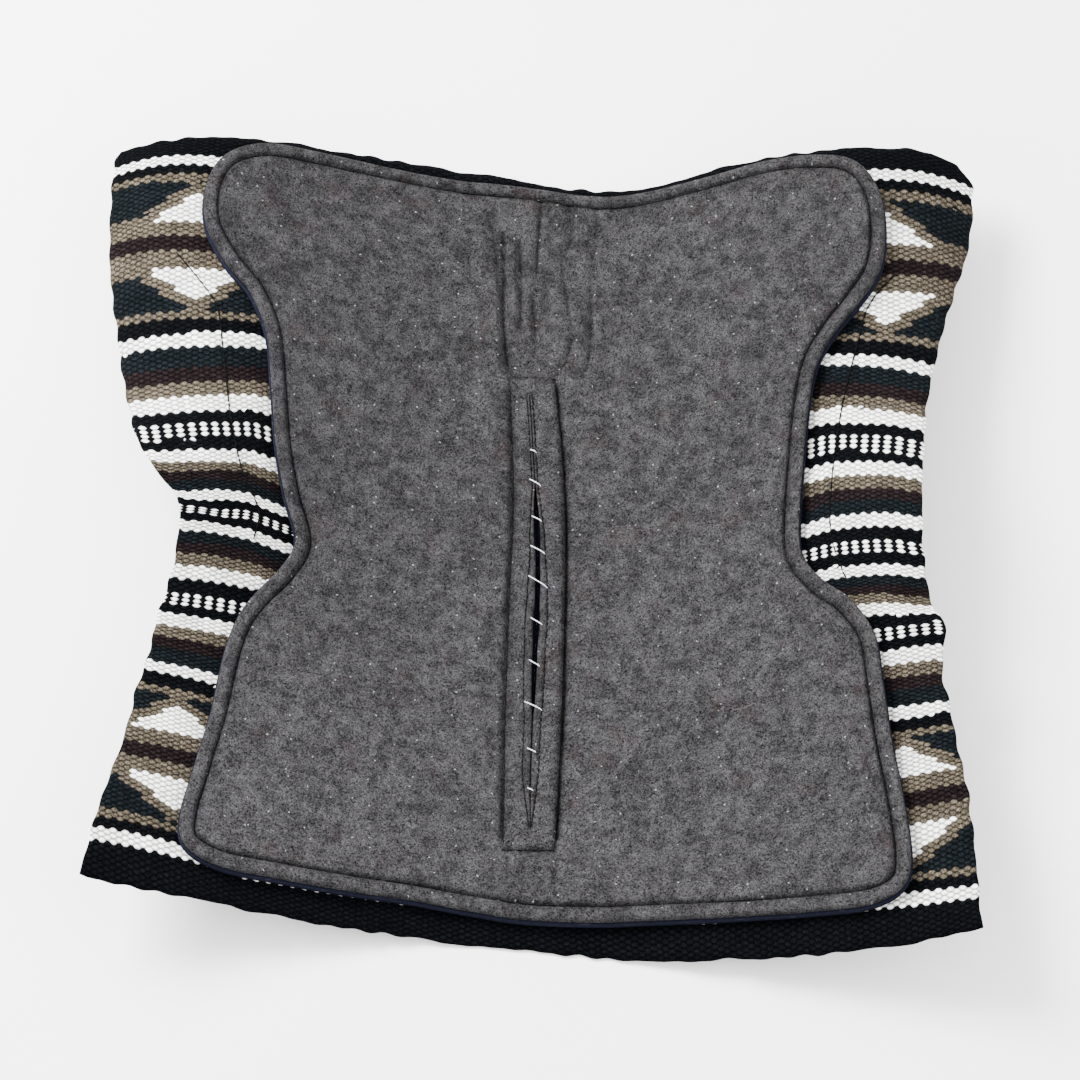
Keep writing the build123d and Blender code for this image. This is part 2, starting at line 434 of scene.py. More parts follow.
    # Dyed yarns get painted glints and painted fibre shade, flecks paler and darker than the yarn; the white
    # ones are plain.
    dyed = s.levels(s.split(colour)[0], 0.10, 0.50, 1.0, 0.0)
    painted_glints = s.levels(s.noise(place, 820.0, 2.0, 0.7), 0.36, 0.64, -0.80, 1.15)
    shade = s.math("MULTIPLY", shade, s.math("ADD", 1.0, s.math("MULTIPLY", dyed, painted_glints)))
    colour = s.mix(1.0, colour, s.grey(shade), "MULTIPLY")
    stray = s.levels(s.noise(place, 320.0, 4.0, 0.8, stretch=((1.0, 0.12, 1.0), (0.0, 0.0, 0.9))), 0.72, 0.78)
    colour = s.mix(s.math("MULTIPLY", stray, 0.22), colour, (0.11, 0.10, 0.09))
    s.feed(s.bsdf.inputs["Base Color"], colour)
    s.bump(s.math("ADD", height, s.math("MULTIPLY", fibre, 0.25)), 1.0, 0.0021)
    return s.finish(roughness=1.0, specular=0.02)


def wool_felt(name, base, lint=1.0):
    """Pressed wool felt: curled fibres of several greys, clouds of paler lint, a few white specks, with
    painted light across it and painted shade in its seams and creases.
    """
    s = Shader(name)
    place = s.place()

    def fibres(scale, width, curl):
        """Thin curling lines: where a distorted noise crosses its middle value."""
        made = s.node("ShaderNodeTexNoise")
        s.feed(made.inputs["Vector"], place)
        made.inputs["Scale"].default_value = scale
        made.inputs["Detail"].default_value = 2.0
        made.inputs["Distortion"].default_value = curl
        away = s.math("ABSOLUTE", s.math("SUBTRACT", made.outputs[0], 0.5))
        return s.levels(away, 0.0, width, 1.0, 0.0)

    along = s.split(place)[1]
    broad = s.noise(place, 7.0, 3.0, 0.6)
    cloud = s.noise(place, 60.0, 3.0, 0.65)
    clump = s.noise(place, 190.0, 2.0, 0.6)
    grain = s.noise(place, 560.0, 2.0, 0.75)
    pale_curl = fibres(280.0, 0.045, 1.5)
    pale_curl_b = fibres(430.0, 0.060, 1.2)
    dark_curl = fibres(350.0, 0.070, 1.5)
    # Broad patches of tone, and painted light over the whole felt: darker towards the front, paler towards
    # the rear.
    shade = s.math("MULTIPLY", s.levels(broad, 0.3, 0.7, 0.86, 1.14), s.levels(along, -0.4, 0.4, 1.16, 0.84))
    # Painted light and shade: the left side is painted darker towards the front and paler towards the rear.
    painted_light_left = s.levels(s.split(place)[0], -0.30, 0.10, 0.22, 0.0)
    slope = s.levels(along, -0.3, 0.4, 1.0, -1.0)
    shade = s.math("MULTIPLY", shade, s.math("ADD", 1.0, s.math("MULTIPLY", painted_light_left, slope)))
    shade = s.math("MULTIPLY", shade, s.levels(cloud, 0.36, 0.64, 0.80, 1.24))
    shade = s.math("MULTIPLY", shade, s.levels(clump, 0.36, 0.64, 0.66, 1.40))
    shade = s.math("MULTIPLY", shade, s.levels(grain, 0.40, 0.60, 0.16, 2.50))
    colour = s.mix(1.0, base, s.grey(shade), "MULTIPLY")
    colour = s.mix(s.math("MULTIPLY", dark_curl, 0.50), colour, (0.0036, 0.0036, 0.0041))
    thick = s.levels(cloud, 0.40, 0.62, 0.30, 0.85)
    both = s.math("MAXIMUM", pale_curl, s.math("MULTIPLY", pale_curl_b, 0.8))
    colour = s.mix(s.math("MULTIPLY", both, s.math("MULTIPLY", thick, lint)), colour, (0.096, 0.094, 0.097))
    red = s.levels(s.noise(place, 26.0, 3.0, 0.6), 0.60, 0.72)
    colour = s.mix(s.math("MULTIPLY", red, 0.25), colour, (0.026, 0.011, 0.012))
    speck = s.node("ShaderNodeTexVoronoi", voronoi_dimensions="2D")
    s.feed(speck.inputs["Vector"], place)
    speck.inputs["Scale"].default_value = 52.0
    speck_size = s.levels(s.noise(place, 900.0), 0.35, 0.65, 0.0, 0.060)
    near = s.math("LESS_THAN", speck.outputs["Distance"], speck_size)
    lucky = s.math("GREATER_THAN", s.split(speck.outputs["Color"])[0], 0.62)
    specks = s.math("MULTIPLY", s.math("MULTIPLY", near, lucky), 0.70 * lint)
    colour = s.mix(specks, colour, (0.36, 0.36, 0.36))
    # Painted shade: the felt darkens where the mesh stores shade for its seams, groove and creases.
    painted_seam_shade = s.node("ShaderNodeAttribute", attribute_name="painted_seam_shade").outputs["Fac"]
    colour = s.mix(1.0, colour, s.grey(s.levels(painted_seam_shade, 0.0, 1.0, 1.0, 0.16)), "MULTIPLY")
    s.feed(s.bsdf.inputs["Base Color"], colour)
    height = s.math("ADD", s.math("MULTIPLY", grain, 0.9), s.math("MULTIPLY", both, 0.25))
    height = s.math("SUBTRACT", height, s.math("MULTIPLY", dark_curl, 0.25))
    height = s.math("ADD", height, s.math("MULTIPLY", clump, 0.8))
    s.bump(s.math("ADD", height, s.math("MULTIPLY", cloud, 1.2)), 0.9, 0.0022)
    return s.finish(roughness=1.0, specular=0.02)


def thread_material(name, base, other, gloss):
    s = Shader(name)
    place = s.place()
    ply = s.noise(place, 1400.0, 2.0, 0.6, stretch=((1.0, 0.3, 1.0), (0.0, 0.0, 0.6)))
    s.feed(s.bsdf.inputs["Base Color"], s.mix(s.levels(ply, 0.35, 0.65), base, other))
    s.bump(ply, 0.6, 0.0004)
    return s.finish(roughness=0.8, specular=gloss)


def wear_leather():
    s = Shader("wear_leather")
    place = s.place()
    cell = s.node("ShaderNodeTexVoronoi", feature="DISTANCE_TO_EDGE")
    s.feed(cell.inputs["Vector"], place)
    cell.inputs["Scale"].default_value = 620.0
    pore = s.levels(cell.outputs["Distance"], 0.0, 0.22)
    scuff = s.levels(s.noise(place, 40.0, 5.0, 0.7), 0.55, 0.75)
    tone = s.levels(s.noise(place, 14.0, 3.0), 0.3, 0.7)
    colour = s.mix(tone, (0.045, 0.020, 0.011), (0.085, 0.040, 0.022))
    colour = s.mix(s.math("MULTIPLY", scuff, 0.35), colour, (0.16, 0.095, 0.06))
    colour = s.mix(1.0, colour, s.grey(s.levels(pore, 0.0, 1.0, 0.7, 1.05)), "MULTIPLY")
    s.feed(s.bsdf.inputs["Base Color"], colour)
    s.bump(s.math("ADD", pore, s.math("MULTIPLY", scuff, 0.3)), 0.5, 0.0006)
    return s.finish(roughness=s.levels(scuff, 0.0, 1.0, 0.6, 0.8), specular=0.15)


def navy_core():
    s = Shader("core_fibre")
    place = s.place()
    grain = s.noise(place, 500.0, 4.0, 0.7)
    streak = s.noise(place, 200.0, 3.0, 0.6, stretch=((0.2, 1.0, 1.0), (0.0, 0.0, 0.4)))
    colour = s.mix(s.levels(grain, 0.3, 0.7), (0.0040, 0.0042, 0.0075), (0.010, 0.011, 0.021))
    colour = s.mix(s.math("MULTIPLY", s.levels(streak, 0.6, 0.7), 0.4), colour, (0.030, 0.031, 0.045))
    s.feed(s.bsdf.inputs["Base Color"], colour)
    s.bump(s.math("ADD", grain, streak), 0.6, 0.0008)
    return s.finish(roughness=1.0, specular=0.02)


wool = woven_wool()
felt_mat = wool_felt("wool_felt", (0.0166, 0.0159, 0.0168))
facing_mat = wool_felt("facing_felt", (0.0170, 0.0163, 0.0172))
lip_mat = wool_felt("lip_felt", (0.0146, 0.0140, 0.0148), lint=0.8)
core_mat = navy_core()
leather_mat = wear_leather()
dark_thread = thread_material("dark_thread", (0.0012, 0.0012, 0.0014), (0.0035, 0.0035, 0.0042), gloss=0.03)
pale_thread = thread_material("pale_thread", (0.46, 0.47, 0.50), (0.72, 0.73, 0.76), gloss=0.4)

# ---------------------------------------------------------------- woven blanket
left_edge = [
    (-422, -371), (-408, -306), (-388, -232), (-371, -159), (-355, -89), (-341, -36), (-342, 4),
    (-367, 34), (-384, 71), (-393, 116), (-403, 171), (-415, 244), (-421, 326), (-420, 394),
    (-414, 412),
]
right_edge = [
    (404, -421), (400, -354), (395, -285), (383, -213), (376, -160), (378, -122), (364, -85),
    (360, -45), (361, 20), (368, 100), (380, 170), (401, 243), (419, 310), (425, 362), (424, 378),
    (412, 394),
]
front_edge = [
    (-414, 412), (-373, 413), (-334, 416), (-285, 420), (-218, 424), (-149, 428), (-60, 426), (20, 410),
    (80, 405), (118, 406), (160, 410), (207, 412), (285, 408), (353, 403), (390, 399),
    (412, 394),
]
rear_edge = [
    (-422, -371), (-366, -376), (-313, -380), (-245, -386), (-176, -391), (-102, -396), (-37, -402),
    (56, -412), (130, -419), (239, -425), (329, -427), (404, -421),
]
# Where the woven pattern lies, as (distance from the pattern's middle, y): along each side edge,
# and again just beside the felt.
left_lay = [
    (-406, -371), (-370, -326), (-284, -236), (-194, -152), (-134, -106), (-107, -86), (-80, -59), (-26, -19),
    (0, -6), (26, 8), (80, 37), (107, 67), (134, 104), (194, 185), (284, 297), (370, 390), (406, 412),
]
left_inner = [
    (-406, -382), (-370, -346), (-284, -249), (-194, -163), (-134, -109), (-107, -87), (-80, -58), (-26, -17),
    (0, 0), (26, 14), (80, 55), (107, 90), (134, 124), (194, 193), (284, 292), (370, 386), (406, 420),
]
right_lay = [
    (-406, -421), (-370, -384), (-284, -281), (-194, -196), (-134, -146), (-107, -125), (-80, -103),
    (-26, -70), (0, -49), (26, -25), (80, 25), (107, 56), (134, 88), (194, 153), (284, 269),
    (370, 368), (406, 394),
]
right_inner = [
    (-406, -427), (-370, -378), (-284, -287), (-194, -195), (-134, -143), (-107, -118), (-80, -90),
    (-26, -54), (0, -31), (26, -6), (80, 50), (107, 82), (134, 112), (194, 173), (284, 264),
    (370, 377), (406, 408),
]
INNER_X = 275.0


def fold_lines(x, y):
    """Buckles in the free flanks of the blanket."""
    crease = distance_to(np.array([(-352.0, 18.0), (-318.0, 6.0), (-286.0, -8.0)]), x, y)
    pinch = -9.0 * np.exp(-((crease / 11.0) ** 2)) * smooth((-x - 268.0) / 50.0)
    roll = 7.0 * np.exp(-(((y + 130.0) / 20.0) ** 2)) * smooth((x - 318.0) / 45.0)
    roll -= 5.0 * np.exp(-(((y + 92.0) / 14.0) ** 2)) * smooth((x - 318.0) / 45.0)
    wave = 2.2 * ripple(x, y, 210.0, 5) * smooth((np.abs(x) - 250.0) / 120.0)
    return pinch + roll + wave


def blanket_mesh():
    cols, rows = 301, 146
    s = np.linspace(0, 1, cols)[None, :]
    flat_v = np.linspace(0, CLOTH_L, rows)
    from_middle = flat_v - CLOTH_L / 2
    kernel = np.array([1, 2, 3, 2, 1]) / 9.0

    def lay_y(lay, first=None, last=None):
        """The y of every row of cloth, from a short table, with its kinks rounded off."""
        lay = np.array(lay, dtype=float)
        y = np.interp(from_middle, lay[:, 0], lay[:, 1])
        y[3:-3] = np.convolve(y, kernel, mode="same")[3:-3]
        if first is not None:
            y[0], y[-1] = first, last
        return y

    def selvage(points, lay):
        fine = curve(points, 800)
        y = lay_y(lay, fine[0, 1], fine[-1, 1])
        order = np.argsort(fine[:, 1])
        return np.interp(y, fine[order, 1], fine[order, 0])[:, None], y[:, None]

    left_x, left_y = selvage(left_edge, left_lay)
    right_x, right_y = selvage(right_edge, right_lay)
    x = left_x * (1 - s) + right_x * s

    # The pattern bends near the felt's edges: it runs straight across under the felt, straight out to
    # the right selvage, and in a curve to the left one.
    near_left, near_right = lay_y(left_inner)[:, None], lay_y(right_inner)[:, None]
    out_left = np.clip((-INNER_X - x) / (-INNER_X - left_x), 0, 1)
    out_right = np.clip((x - INNER_X) / (right_x - INNER_X), 0, 1)
    between = np.clip((x + INNER_X) / (2 * INNER_X), 0, 1)
    y = near_left * (1 - between) + near_right * between
    y = y + (1 - (1 - out_left) ** 2) * (left_y - near_left) + out_right * (right_y - near_right)

    # The woven ends follow the blanket's own front and rear edges.
    for points, row, way in ((front_edge, -1, from_middle), (rear_edge, 0, -from_middle)):
        fine = curve(points, 800)
        error = np.interp(x[row], fine[:, 0], fine[:, 1]) - y[row]
        y = y + smooth((way - 372.5) / 34.0)[:, None] * error[None, :]
    flat_x = x.copy()
    v = flat_v[:, None] + 0 * x
    u = s * CLOTH_W + 0 * x

    # Hand-woven selvages and ends are never dead straight.
    rim = np.minimum(np.minimum(u, CLOTH_W - u), np.minimum(v, CLOTH_L - v))
    fade = 1 - smooth(rim / 40.0)
    x += 1.6 * fade * ripple(y, v, 46.0, 11)
    y += 1.6 * fade * ripple(x, u, 40.0, 12)
    edge = np.clip(rim / 5.5, 0, 1)
    half = 0.6 + 1.9 * np.sqrt(np.clip(1 - (1 - edge) ** 2, 0, 1))
    middle = rise(x, y) + 2.5 + fold_lines(x, y)
    grain = 0.3 * ripple(x, y, 14.0, 21)
    top = np.stack([x, y, middle + half + grain], axis=-1)
    low = np.stack([x, y, np.maximum(middle - half, 0.0)], axis=-1)

    # Warps are counted from the spine by distance over the sag, so they stay evenly spaced at the waist.
    height = rise(flat_x, y)
    run = np.hypot(np.diff(flat_x, axis=1), np.diff(height, axis=1))
    run = np.concatenate([np.zeros((rows, 1)), np.cumsum(run, axis=1)], axis=1)
    at_spine = np.array([np.interp(0.0, flat_x[k], run[k]) for k in range(rows)])[:, None]
    u = run - at_spine + CLOTH_W / 2
    obj = closed_sheet("woven_blanket", top, low, wool)
    cloth = np.stack([u, v, 0 * u], axis=-1).reshape(-1, 3)
    data = obj.data.attributes.new("cloth", "FLOAT_VECTOR", "POINT")
    data.data.foreach_set("vector", np.vstack([cloth, cloth]).astype(np.float32).ravel())
    return obj


blanket = blanket_mesh()

# ---------------------------------------------------------------- felt, core
felt_points = [
    (-4, 399), (-60, 406), (-139, 409), (-216, 410), (-270, 408), (-308, 389), (-325, 355), (-325, 312),
    (-305, 271), (-280, 240), (-264, 199), (-258, 144), (-252, 76), (-243, 27), (-232, -15),
    (-246, -47), (-268, -75), (-284, -100), (-296, -137), (-307, -198), (-320, -251), (-332, -305),
    (-327, -333), (-296, -349), (-245, -354), (-180, -359), (-120, -363), (-66, -371), (-18, -379),
    (40, -382), (100, -382), (180, -385), (250, -388), (303, -388), (333, -375), (341, -346),
    (335, -283), (327, -232), (320, -172), (313, -125), (292, -89), (268, -65), (250, -37), (246, -8),
    (251, 60), (258, 124), (267, 166), (284, 196), (308, 226), (328, 258), (335, 300), (330, 348),
    (308, 382), (270, 395), (220, 399), (178, 396), (138, 393), (95, 390), (45, 391),
]
RING = 720
felt_outline = curve(felt_points, RING, closed=True)
into = inward(felt_outline)
slit_points = [
    (-10, 168), (-7, 114), (-4, 52), (-2, -28), (-5, -115), (-7, -182), (-9, -240), (-9, -290),
]
slit_line = curve(slit_points, 200)


def slit_x(y):
    order = np.argsort(slit_line[:, 1])
    return np.interp(y, slit_line[order, 1], slit_line[order, 0])


def slit_half(y):
    """The slit gapes at mid length and closes to a line towards both ends."""
    gape = smooth((75.0 - y) / 45.0) * smooth((y + 182.0) / 40.0)
    return 0.35 + 2.3 * gape * (1.0 + 0.18 * np.sin(y / 17.0) + 0.12 * np.sin(y / 7.3))


def slot_ring(grow):
    """The slit's edge as a closed ring in step with the felt's outline."""
    out_x, out_y = felt_outline[:, 0], felt_outline[:, 1]
    y = np.clip(out_y * 0.60 - 38.0, -286.0, 164.0)
    x_mid = slit_x(y)
    side = np.where(out_x > SPINE_X, 1.0, -1.0)
    ends = (out_y > 0) & (y >= 163.9) | (out_y < 0) & (y <= -285.9)
    width = slit_half(y) + grow
    soft = np.clip((out_x - SPINE_X) / 70.0, -1, 1)
    side = np.where(ends, soft, side)
    bow = grow * np.sqrt(np.clip(1 - soft ** 2, 0, 1))
    end_y = np.where(out_y > 0, bow, -bow)
    return np.stack([x_mid + side * width, y + np.where(ends, end_y, 0.0)], axis=1)


# The facing round the slit: its stitched outline, two long sides and two short ends.
facing_left = [(-30, 186), (-26, 58), (-30, -60), (-33, -160), (-35, -313)]
facing_right = [(15, 186), (23, 86), (25, -12), (21, -180), (14, -313)]


def facing_ring():
    """The facing's stitched outline, as a closed ring of points running anticlockwise from the front."""
    left = curve(facing_left, 200)
    right = curve(facing_right[::-1], 200)
    front = np.linspace(right[-1], left[0], 24)[1:-1]
    rear = np.linspace(left[-1], right[0], 24)[1:-1]
    return np.vstack([left, rear, right, front])


facing_outline = facing_ring()
facing_in = inward(facing_outline)
seam_ring = np.vstack([facing_outline, facing_outline[:1]])

front_creases = [
    ([(-52, 385), (-45, 330), (-42, 290)], 2.0, 4.0),
    ([(-37, 345), (-36, 300), (-36, 250), (-31, 190)], 4.2, 3.4),
    ([(-21, 338), (-19, 295), (-19, 240)], 2.8, 2.8),
    ([(0, 392), (-1, 350), (-4, 300)], 3.4, 3.0),
    ([(-7, 278), (-5, 240), (-4, 215)], 2.2, 2.8),
    ([(27, 382), (31, 345), (22, 312), (26, 270), (31, 245)], 2.4, 3.4),
    ([(56, 382), (54, 340), (52, 300)], 2.2, 3.8),
    ([(50, 290), (50, 240), (47, 205), (40, 185)], 3.0, 3.4),
    ([(32, 232), (26, 205), (20, 196)], 2.4, 2.6),
    ([(-31, -318), (-30, -345), (-28, -366)], 1.6, 3.0),
    ([(-17, -316), (-15, -345), (-13, -366)], 1.6, 2.8),
    ([(14, -316), (14, -345), (13, -366)], 1.8, 3.0),
]


def crease_lines(x, y):
    """Dip, bulge and painted shade at every (x, y), from the gathers at the slit's ends and the facing's
    seam.
    """
    dip = np.zeros_like(x)
    bulge = np.zeros_like(x)
    painted_shade = np.zeros_like(x)
    for points, depth, width in front_creases:
        line = curve(points, 24)
        low_y, high_y = line[:, 1].min(), line[:, 1].max()
        fade = smooth((y - low_y + 16.0) / 30.0) * smooth((high_y + 16.0 - y) / 30.0)
        d = distance_to(line, x, y)
        dip += depth * np.exp(-((d / width) ** 2)) * fade
        bulge += 0.5 * depth * np.exp(-(((d - 2.6 * width) / (1.3 * width)) ** 2)) * fade
        # Painted shade down the middle of each gather.
        painted_shade = np.maximum(painted_shade, 0.25 * depth * np.exp(-((d / (0.5 * width)) ** 2)) * fade)
    d = distance_to(seam_ring, x, y)
    ends = smooth((180.0 - y) / 10.0) * smooth((y + 306.0) / 10.0)
    deep = 0.35 + 0.65 * ends
    dip += deep * (4.2 * np.exp(-((d / 2.6) ** 2)) + 2.6 * np.exp(-((d / 14.0) ** 2)))
    # Painted shade along the facing's seam.
    painted_shade = np.maximum(painted_shade, (0.45 + 0.5 * ends) * np.exp(-((d / 1.5) ** 2)))
    painted_shade = np.maximum(painted_shade, 0.48 * ends * np.exp(-((d / 5.5) ** 2)))
    return dip, np.minimum(bulge, 2.4), painted_shade


def felt_relief(x, y):
    """Creases, hollows and lumps of the felt face, added to its top."""
    dip, bulge, _ = crease_lines(x, y)
    lumps = 0.9 * ripple(x, y, 120.0, 31) + 0.45 * ripple(x, y, 34.0, 32) + 0.18 * ripple(x, y, 9.0, 33)
    return lumps + bulge - dip


def paint_seam_shade(obj, groove_path=None):
    """Store, point by point, the painted shade in the felt's seams, groove and creases, for the material to
    darken.
    """
    count = len(obj.data.vertices)
    place = np.empty(count * 3)
    obj.data.vertices.foreach_get("co", place)
    place = place.reshape(-1, 3) / MM
    x, y = place[:, 0], place[:, 1]
    _, _, painted_shade = crease_lines(x, y)
    if groove_path is not None:
        # Painted shade in the stitched edge groove.
        d = distance_to(groove_path, x, y)
        painted_shade = np.maximum(painted_shade, 0.85 * np.exp(-((d / 1.3) ** 2)))
        painted_shade = np.maximum(painted_shade, 0.42 * np.exp(-((d / 4.0) ** 2)))
    data = obj.data.attributes.new("painted_seam_shade", "FLOAT", "POINT")
    data.data.foreach_set("value", painted_shade.astype(np.float32))


def pad_rings(outline, normal, low, high, insets, inner_ring, lerps, relief, edge_radius,
              low_rings=10, groove=0.0):
    """Rings over the top of a stitched pad, round its rim, under it and up through the slit."""
    tops = []
    for d in insets:
        tops.append(outline + normal * d)
    base = tops[-1]
    for k in range(1, lerps + 1):
        f = 1.0 - (1.0 - k / lerps) ** 1.45
        tops.append(base * (1 - f) + inner_ring * f)
    tops = np.array(tops)
    depth = np.array(list(insets) + [insets[-1]] * lerps)[:, None]
    x, y = tops[..., 0], tops[..., 1]
    z = rise(x, y) + high + relief(x, y) * np.clip((depth - 3) / 12.0, 0, 1)
    short = np.clip(edge_radius - depth, 0, edge_radius)
    round_off = edge_radius - np.sqrt(np.clip(edge_radius ** 2 - short ** 2, 0, None))
    z = z - round_off - groove * np.exp(-(((depth - EDGE_INSET) / 1.9) ** 2)) * (depth < insets[-1] + 1)
    top = np.stack([x, y, z], axis=-1)
    under = []
    for f in np.linspace(0, 1, low_rings):
        d = 0.0 if f == 0 else 3.0
        ring = (outline + normal * d) * (1 - f) + inner_ring * f
        lift = 2.0 if f == 0 else 0.0
        under.append(np.column_stack([ring, rise(ring[:, 0], ring[:, 1]) + low + lift]))
    return np.vstack([top[::-1], np.array(under)])


# Rings crowd together at the rim and at the stitched groove.
insets = [
    0, 0.5, 1.4, 2.6, 4.0, 5.5, 7.2, 9.0, 10.4, 11.6, 12.6, 13.4, 14.0,
    14.6, 15.4, 16.4, 17.8, 19.6, 22.0, 25.0,
]
slot_edge = slot_ring(0.0)
felt = ring_solid("felt_face", pad_rings(
    felt_outline, into, FELT_LOW, FELT_TOP, insets, slot_edge, 74, felt_relief, 5.5, groove=3.8), felt_mat)
edge_path = felt_outline + into * EDGE_INSET
edge_path = np.vstack([edge_path, edge_path[:1]])
paint_seam_shade(felt, edge_path)

core_outline = felt_outline - into * 2.0
core_slot = slot_ring(-0.2)
core_slot[:, 0] = slit_x(core_slot[:, 1]) + np.sign(core_slot[:, 0] - slit_x(core_slot[:, 1]) + 1e-9) * 0.12
core = ring_solid("core_layer", pad_rings(
    core_outline, into, CORE_LOW, CORE_TOP, [0, 0.6, 1.6, 3.0, 5.0], core_slot, 14,
    lambda x, y: 0.3 * ripple(x, y, 40.0, 41), 2.4, low_rings=6), core_mat)

# ---------------------------------------------------------------- facing round the slit
def lip_size(y):
    """The lips are narrow towards the front, full by mid length, and run out in a point at the rear."""
    return (0.22 + 0.78 * smooth((62.0 - y) / 130.0)) * smooth((y + 300.0) / 75.0) + 0.06


def lip_ring(outline):
    """The facing's inner edge, tucked under the lips."""
    y = np.clip((outline[:, 1] + 63.5) * 0.925 - 61.0, -290.0, 168.0)
    side = np.clip((outline[:, 0] - slit_x(y)) / 6.0, -1, 1)
    return np.stack([slit_x(y) + side * (slit_half(y) + 0.6 + 6.4 * lip_size(y)), y], axis=1)


def facing_mesh():
    """Two plump rolls of felt between the outer seam and the lips."""
    inner = lip_ring(facing_outline)
    rings = []
    high = FELT_TOP + 1.5
    shoulder = (
        (0.0, 4.4), (0.4, 3.7), (0.9, 2.9), (1.6, 1.9), (2.5, 0.9), (3.6, 0.1), (5.0, -0.5), (6.6, -0.8),
    )
    for d, drop in shoulder:
        ring = facing_outline + facing_in * d
        rings.append((ring, high - drop))
    start = rings[-1][0]
    for f in np.linspace(0, 1, 11)[1:]:
        rings.append((start * (1 - f) + inner * f, high + 0.8 - 1.9 * f ** 4))
    top = []
    for ring, z in rings:
        x, y = ring[:, 0], ring[:, 1]
        lumps = 0.35 * ripple(x, y, 26.0, 43) + 0.2 * ripple(x, y, 11.0, 44)
        top.append(np.column_stack([ring, rise(x, y) + z + lumps]))
    low = [np.column_stack([r, rise(r[:, 0], r[:, 1]) + FELT_TOP - sink])
           for r, sink in ((facing_outline, 5.0), (inner, 1.6))]
    return ring_solid("slit_facing", np.array(top[::-1] + low), facing_mat)


facing = facing_mesh()
paint_seam_shade(facing)


def lip_mesh(name, side):
    """A folded strip of felt along one side of the slit."""
    y = np.linspace(166.0, -288.0, 180)
    mid, gap, full = slit_x(y), slit_half(y), lip_size(y)
    profile = (
        (0.1, -9.0), (0.0, -2.0), (0.15, -0.2), (0.9, 1.1), (2.4, 1.75), (4.2, 1.65),
        (5.6, 1.0), (6.6, 0.1), (6.9, -1.0), (5.0, -2.0), (2.0, -3.0), (1.2, -9.0),
    )
    rows = []
    for reach, up in profile:
        x = mid + side * (gap * 0.96 + reach * full)
        lumps = 0.22 * ripple(y, y * 0, 18.0, 51 + int(side)) * (up > 0)
        shape = np.where(up > 0, 0.35 + 0.65 * full, 1.0)
        rows.append(np.column_stack([x, y, rise(x, y) + FELT_TOP + 0.9 + (up + lumps) * shape]))
    grid = np.array(rows)
    n, m = grid.shape[:2]
    faces = quads(n, m, flip=side > 0)
    for j in range(m - 1):
        a, b = (n - 1) * m + j, (n - 1) * m + j + 1
        faces.append([a, b, j + 1, j] if side < 0 else [a, j, j + 1, b])
    ends = [[i * m for i in range(n)], [i * m + m - 1 for i in range(n)]]
    faces.append(ends[0] if side < 0 else ends[0][::-1])
    faces.append(ends[1][::-1] if side < 0 else ends[1])
    return new_object(name, grid.reshape(-1, 3), faces, lip_mat)


lip_l = lip_mesh("slit_lip_left", -1.0)
lip_r = lip_mesh("slit_lip_right", 1.0)

# ---------------------------------------------------------------- threads
edge_stitch = stitches(
    "edge_stitches", edge_path, FELT_TOP - 3.5, dark_thread, length=8.2, gap=1.0, radius=0.65, seed=61)
facing_path = facing_outline + facing_in * 0.9
facing_path = np.vstack([facing_path, facing_path[:1]])
facing_stitch = stitches(
    "facing_stitches", facing_path, FELT_TOP - 1.5, dark_thread, length=6.6, gap=1.0, radius=0.6, seed=62)


def lip_stitches(name, side, seed):
    y = np.linspace(160.0, -282.0, 120)
    path = np.column_stack([slit_x(y) + side * (slit_half(y) + 0.8 + 6.6 * lip_size(y)), y])
    return stitches(name, path, FELT_TOP + 0.75, dark_thread, length=5.2, gap=1.4, radius=0.5, seed=seed)


lip_stitch_l = lip_stitches("lip_stitches_left", -1.0, 63)
lip_stitch_r = lip_stitches("lip_stitches_right", 1.0, 64)


# Where each basting stitch crosses the slit, and how far it reaches to each side.
basting_at = (
    (104, 3.0), (70, 5.6), (31, 5.0), (-2, 7.2), (-36, 9.2),
    (-78, 7.6), (-122, 6.6), (-166, 8.4), (-212, 5.0), (-252, 3.2),
)


def basting():
    """Pale hand stitches laced across the slit, each one two plies twisted together."""
    parts = []
    rng = np.random.default_rng(71)
    for y, reach in basting_at:
        mid = float(slit_x(np.array(y * 1.0)))
        t = np.linspace(-1, 1, 26)
        slope = 0.72 + rng.normal(0, 0.08)
        x = mid + t * reach
        yy = y - t * reach * slope + 0.5 * np.sin(t * 2.2)
        arch = 1 - t ** 4
        z = rise(x, yy) + FELT_TOP + 1.0 + 1.9 * arch
        for ply in (0.0, math.pi):
            turn = t * reach * 1.15 + ply
            twisted = np.column_stack([x, yy + PLY * 0.8 * np.cos(turn), z + PLY * 0.8 * np.sin(turn)])
            parts.append(tube(twisted, PLY, 6))
    return joined("basting_stitches", parts, pale_thread)


basting_thread = basting()

# ---------------------------------------------------------------- wear leathers on the woven side
leather_left = [
    (-350, 300), (-318, 262), (-303, 225), (-300, 160), (-288, 90), (-272, 40), (-266, 8), (-276, -30),
    (-318, -28), (-330, 0), (-350, 36), (-368, 90), (-380, 160), (-392, 230), (-392, 290), (-376, 318),
]
leather_right = [
    (342, 268), (318, 232), (304, 190), (290, 128), (279, 55), (275, -10), (286, -55), (300, -84),
    (334, -78), (344, -20), (344, 40), (350, 104), (362, 168), (378, 230), (384, 270), (366, 290),
]


def lift(ring):
    return rise(ring[:, 0], ring[:, 1]) + fold_lines(ring[:, 0], ring[:, 1])


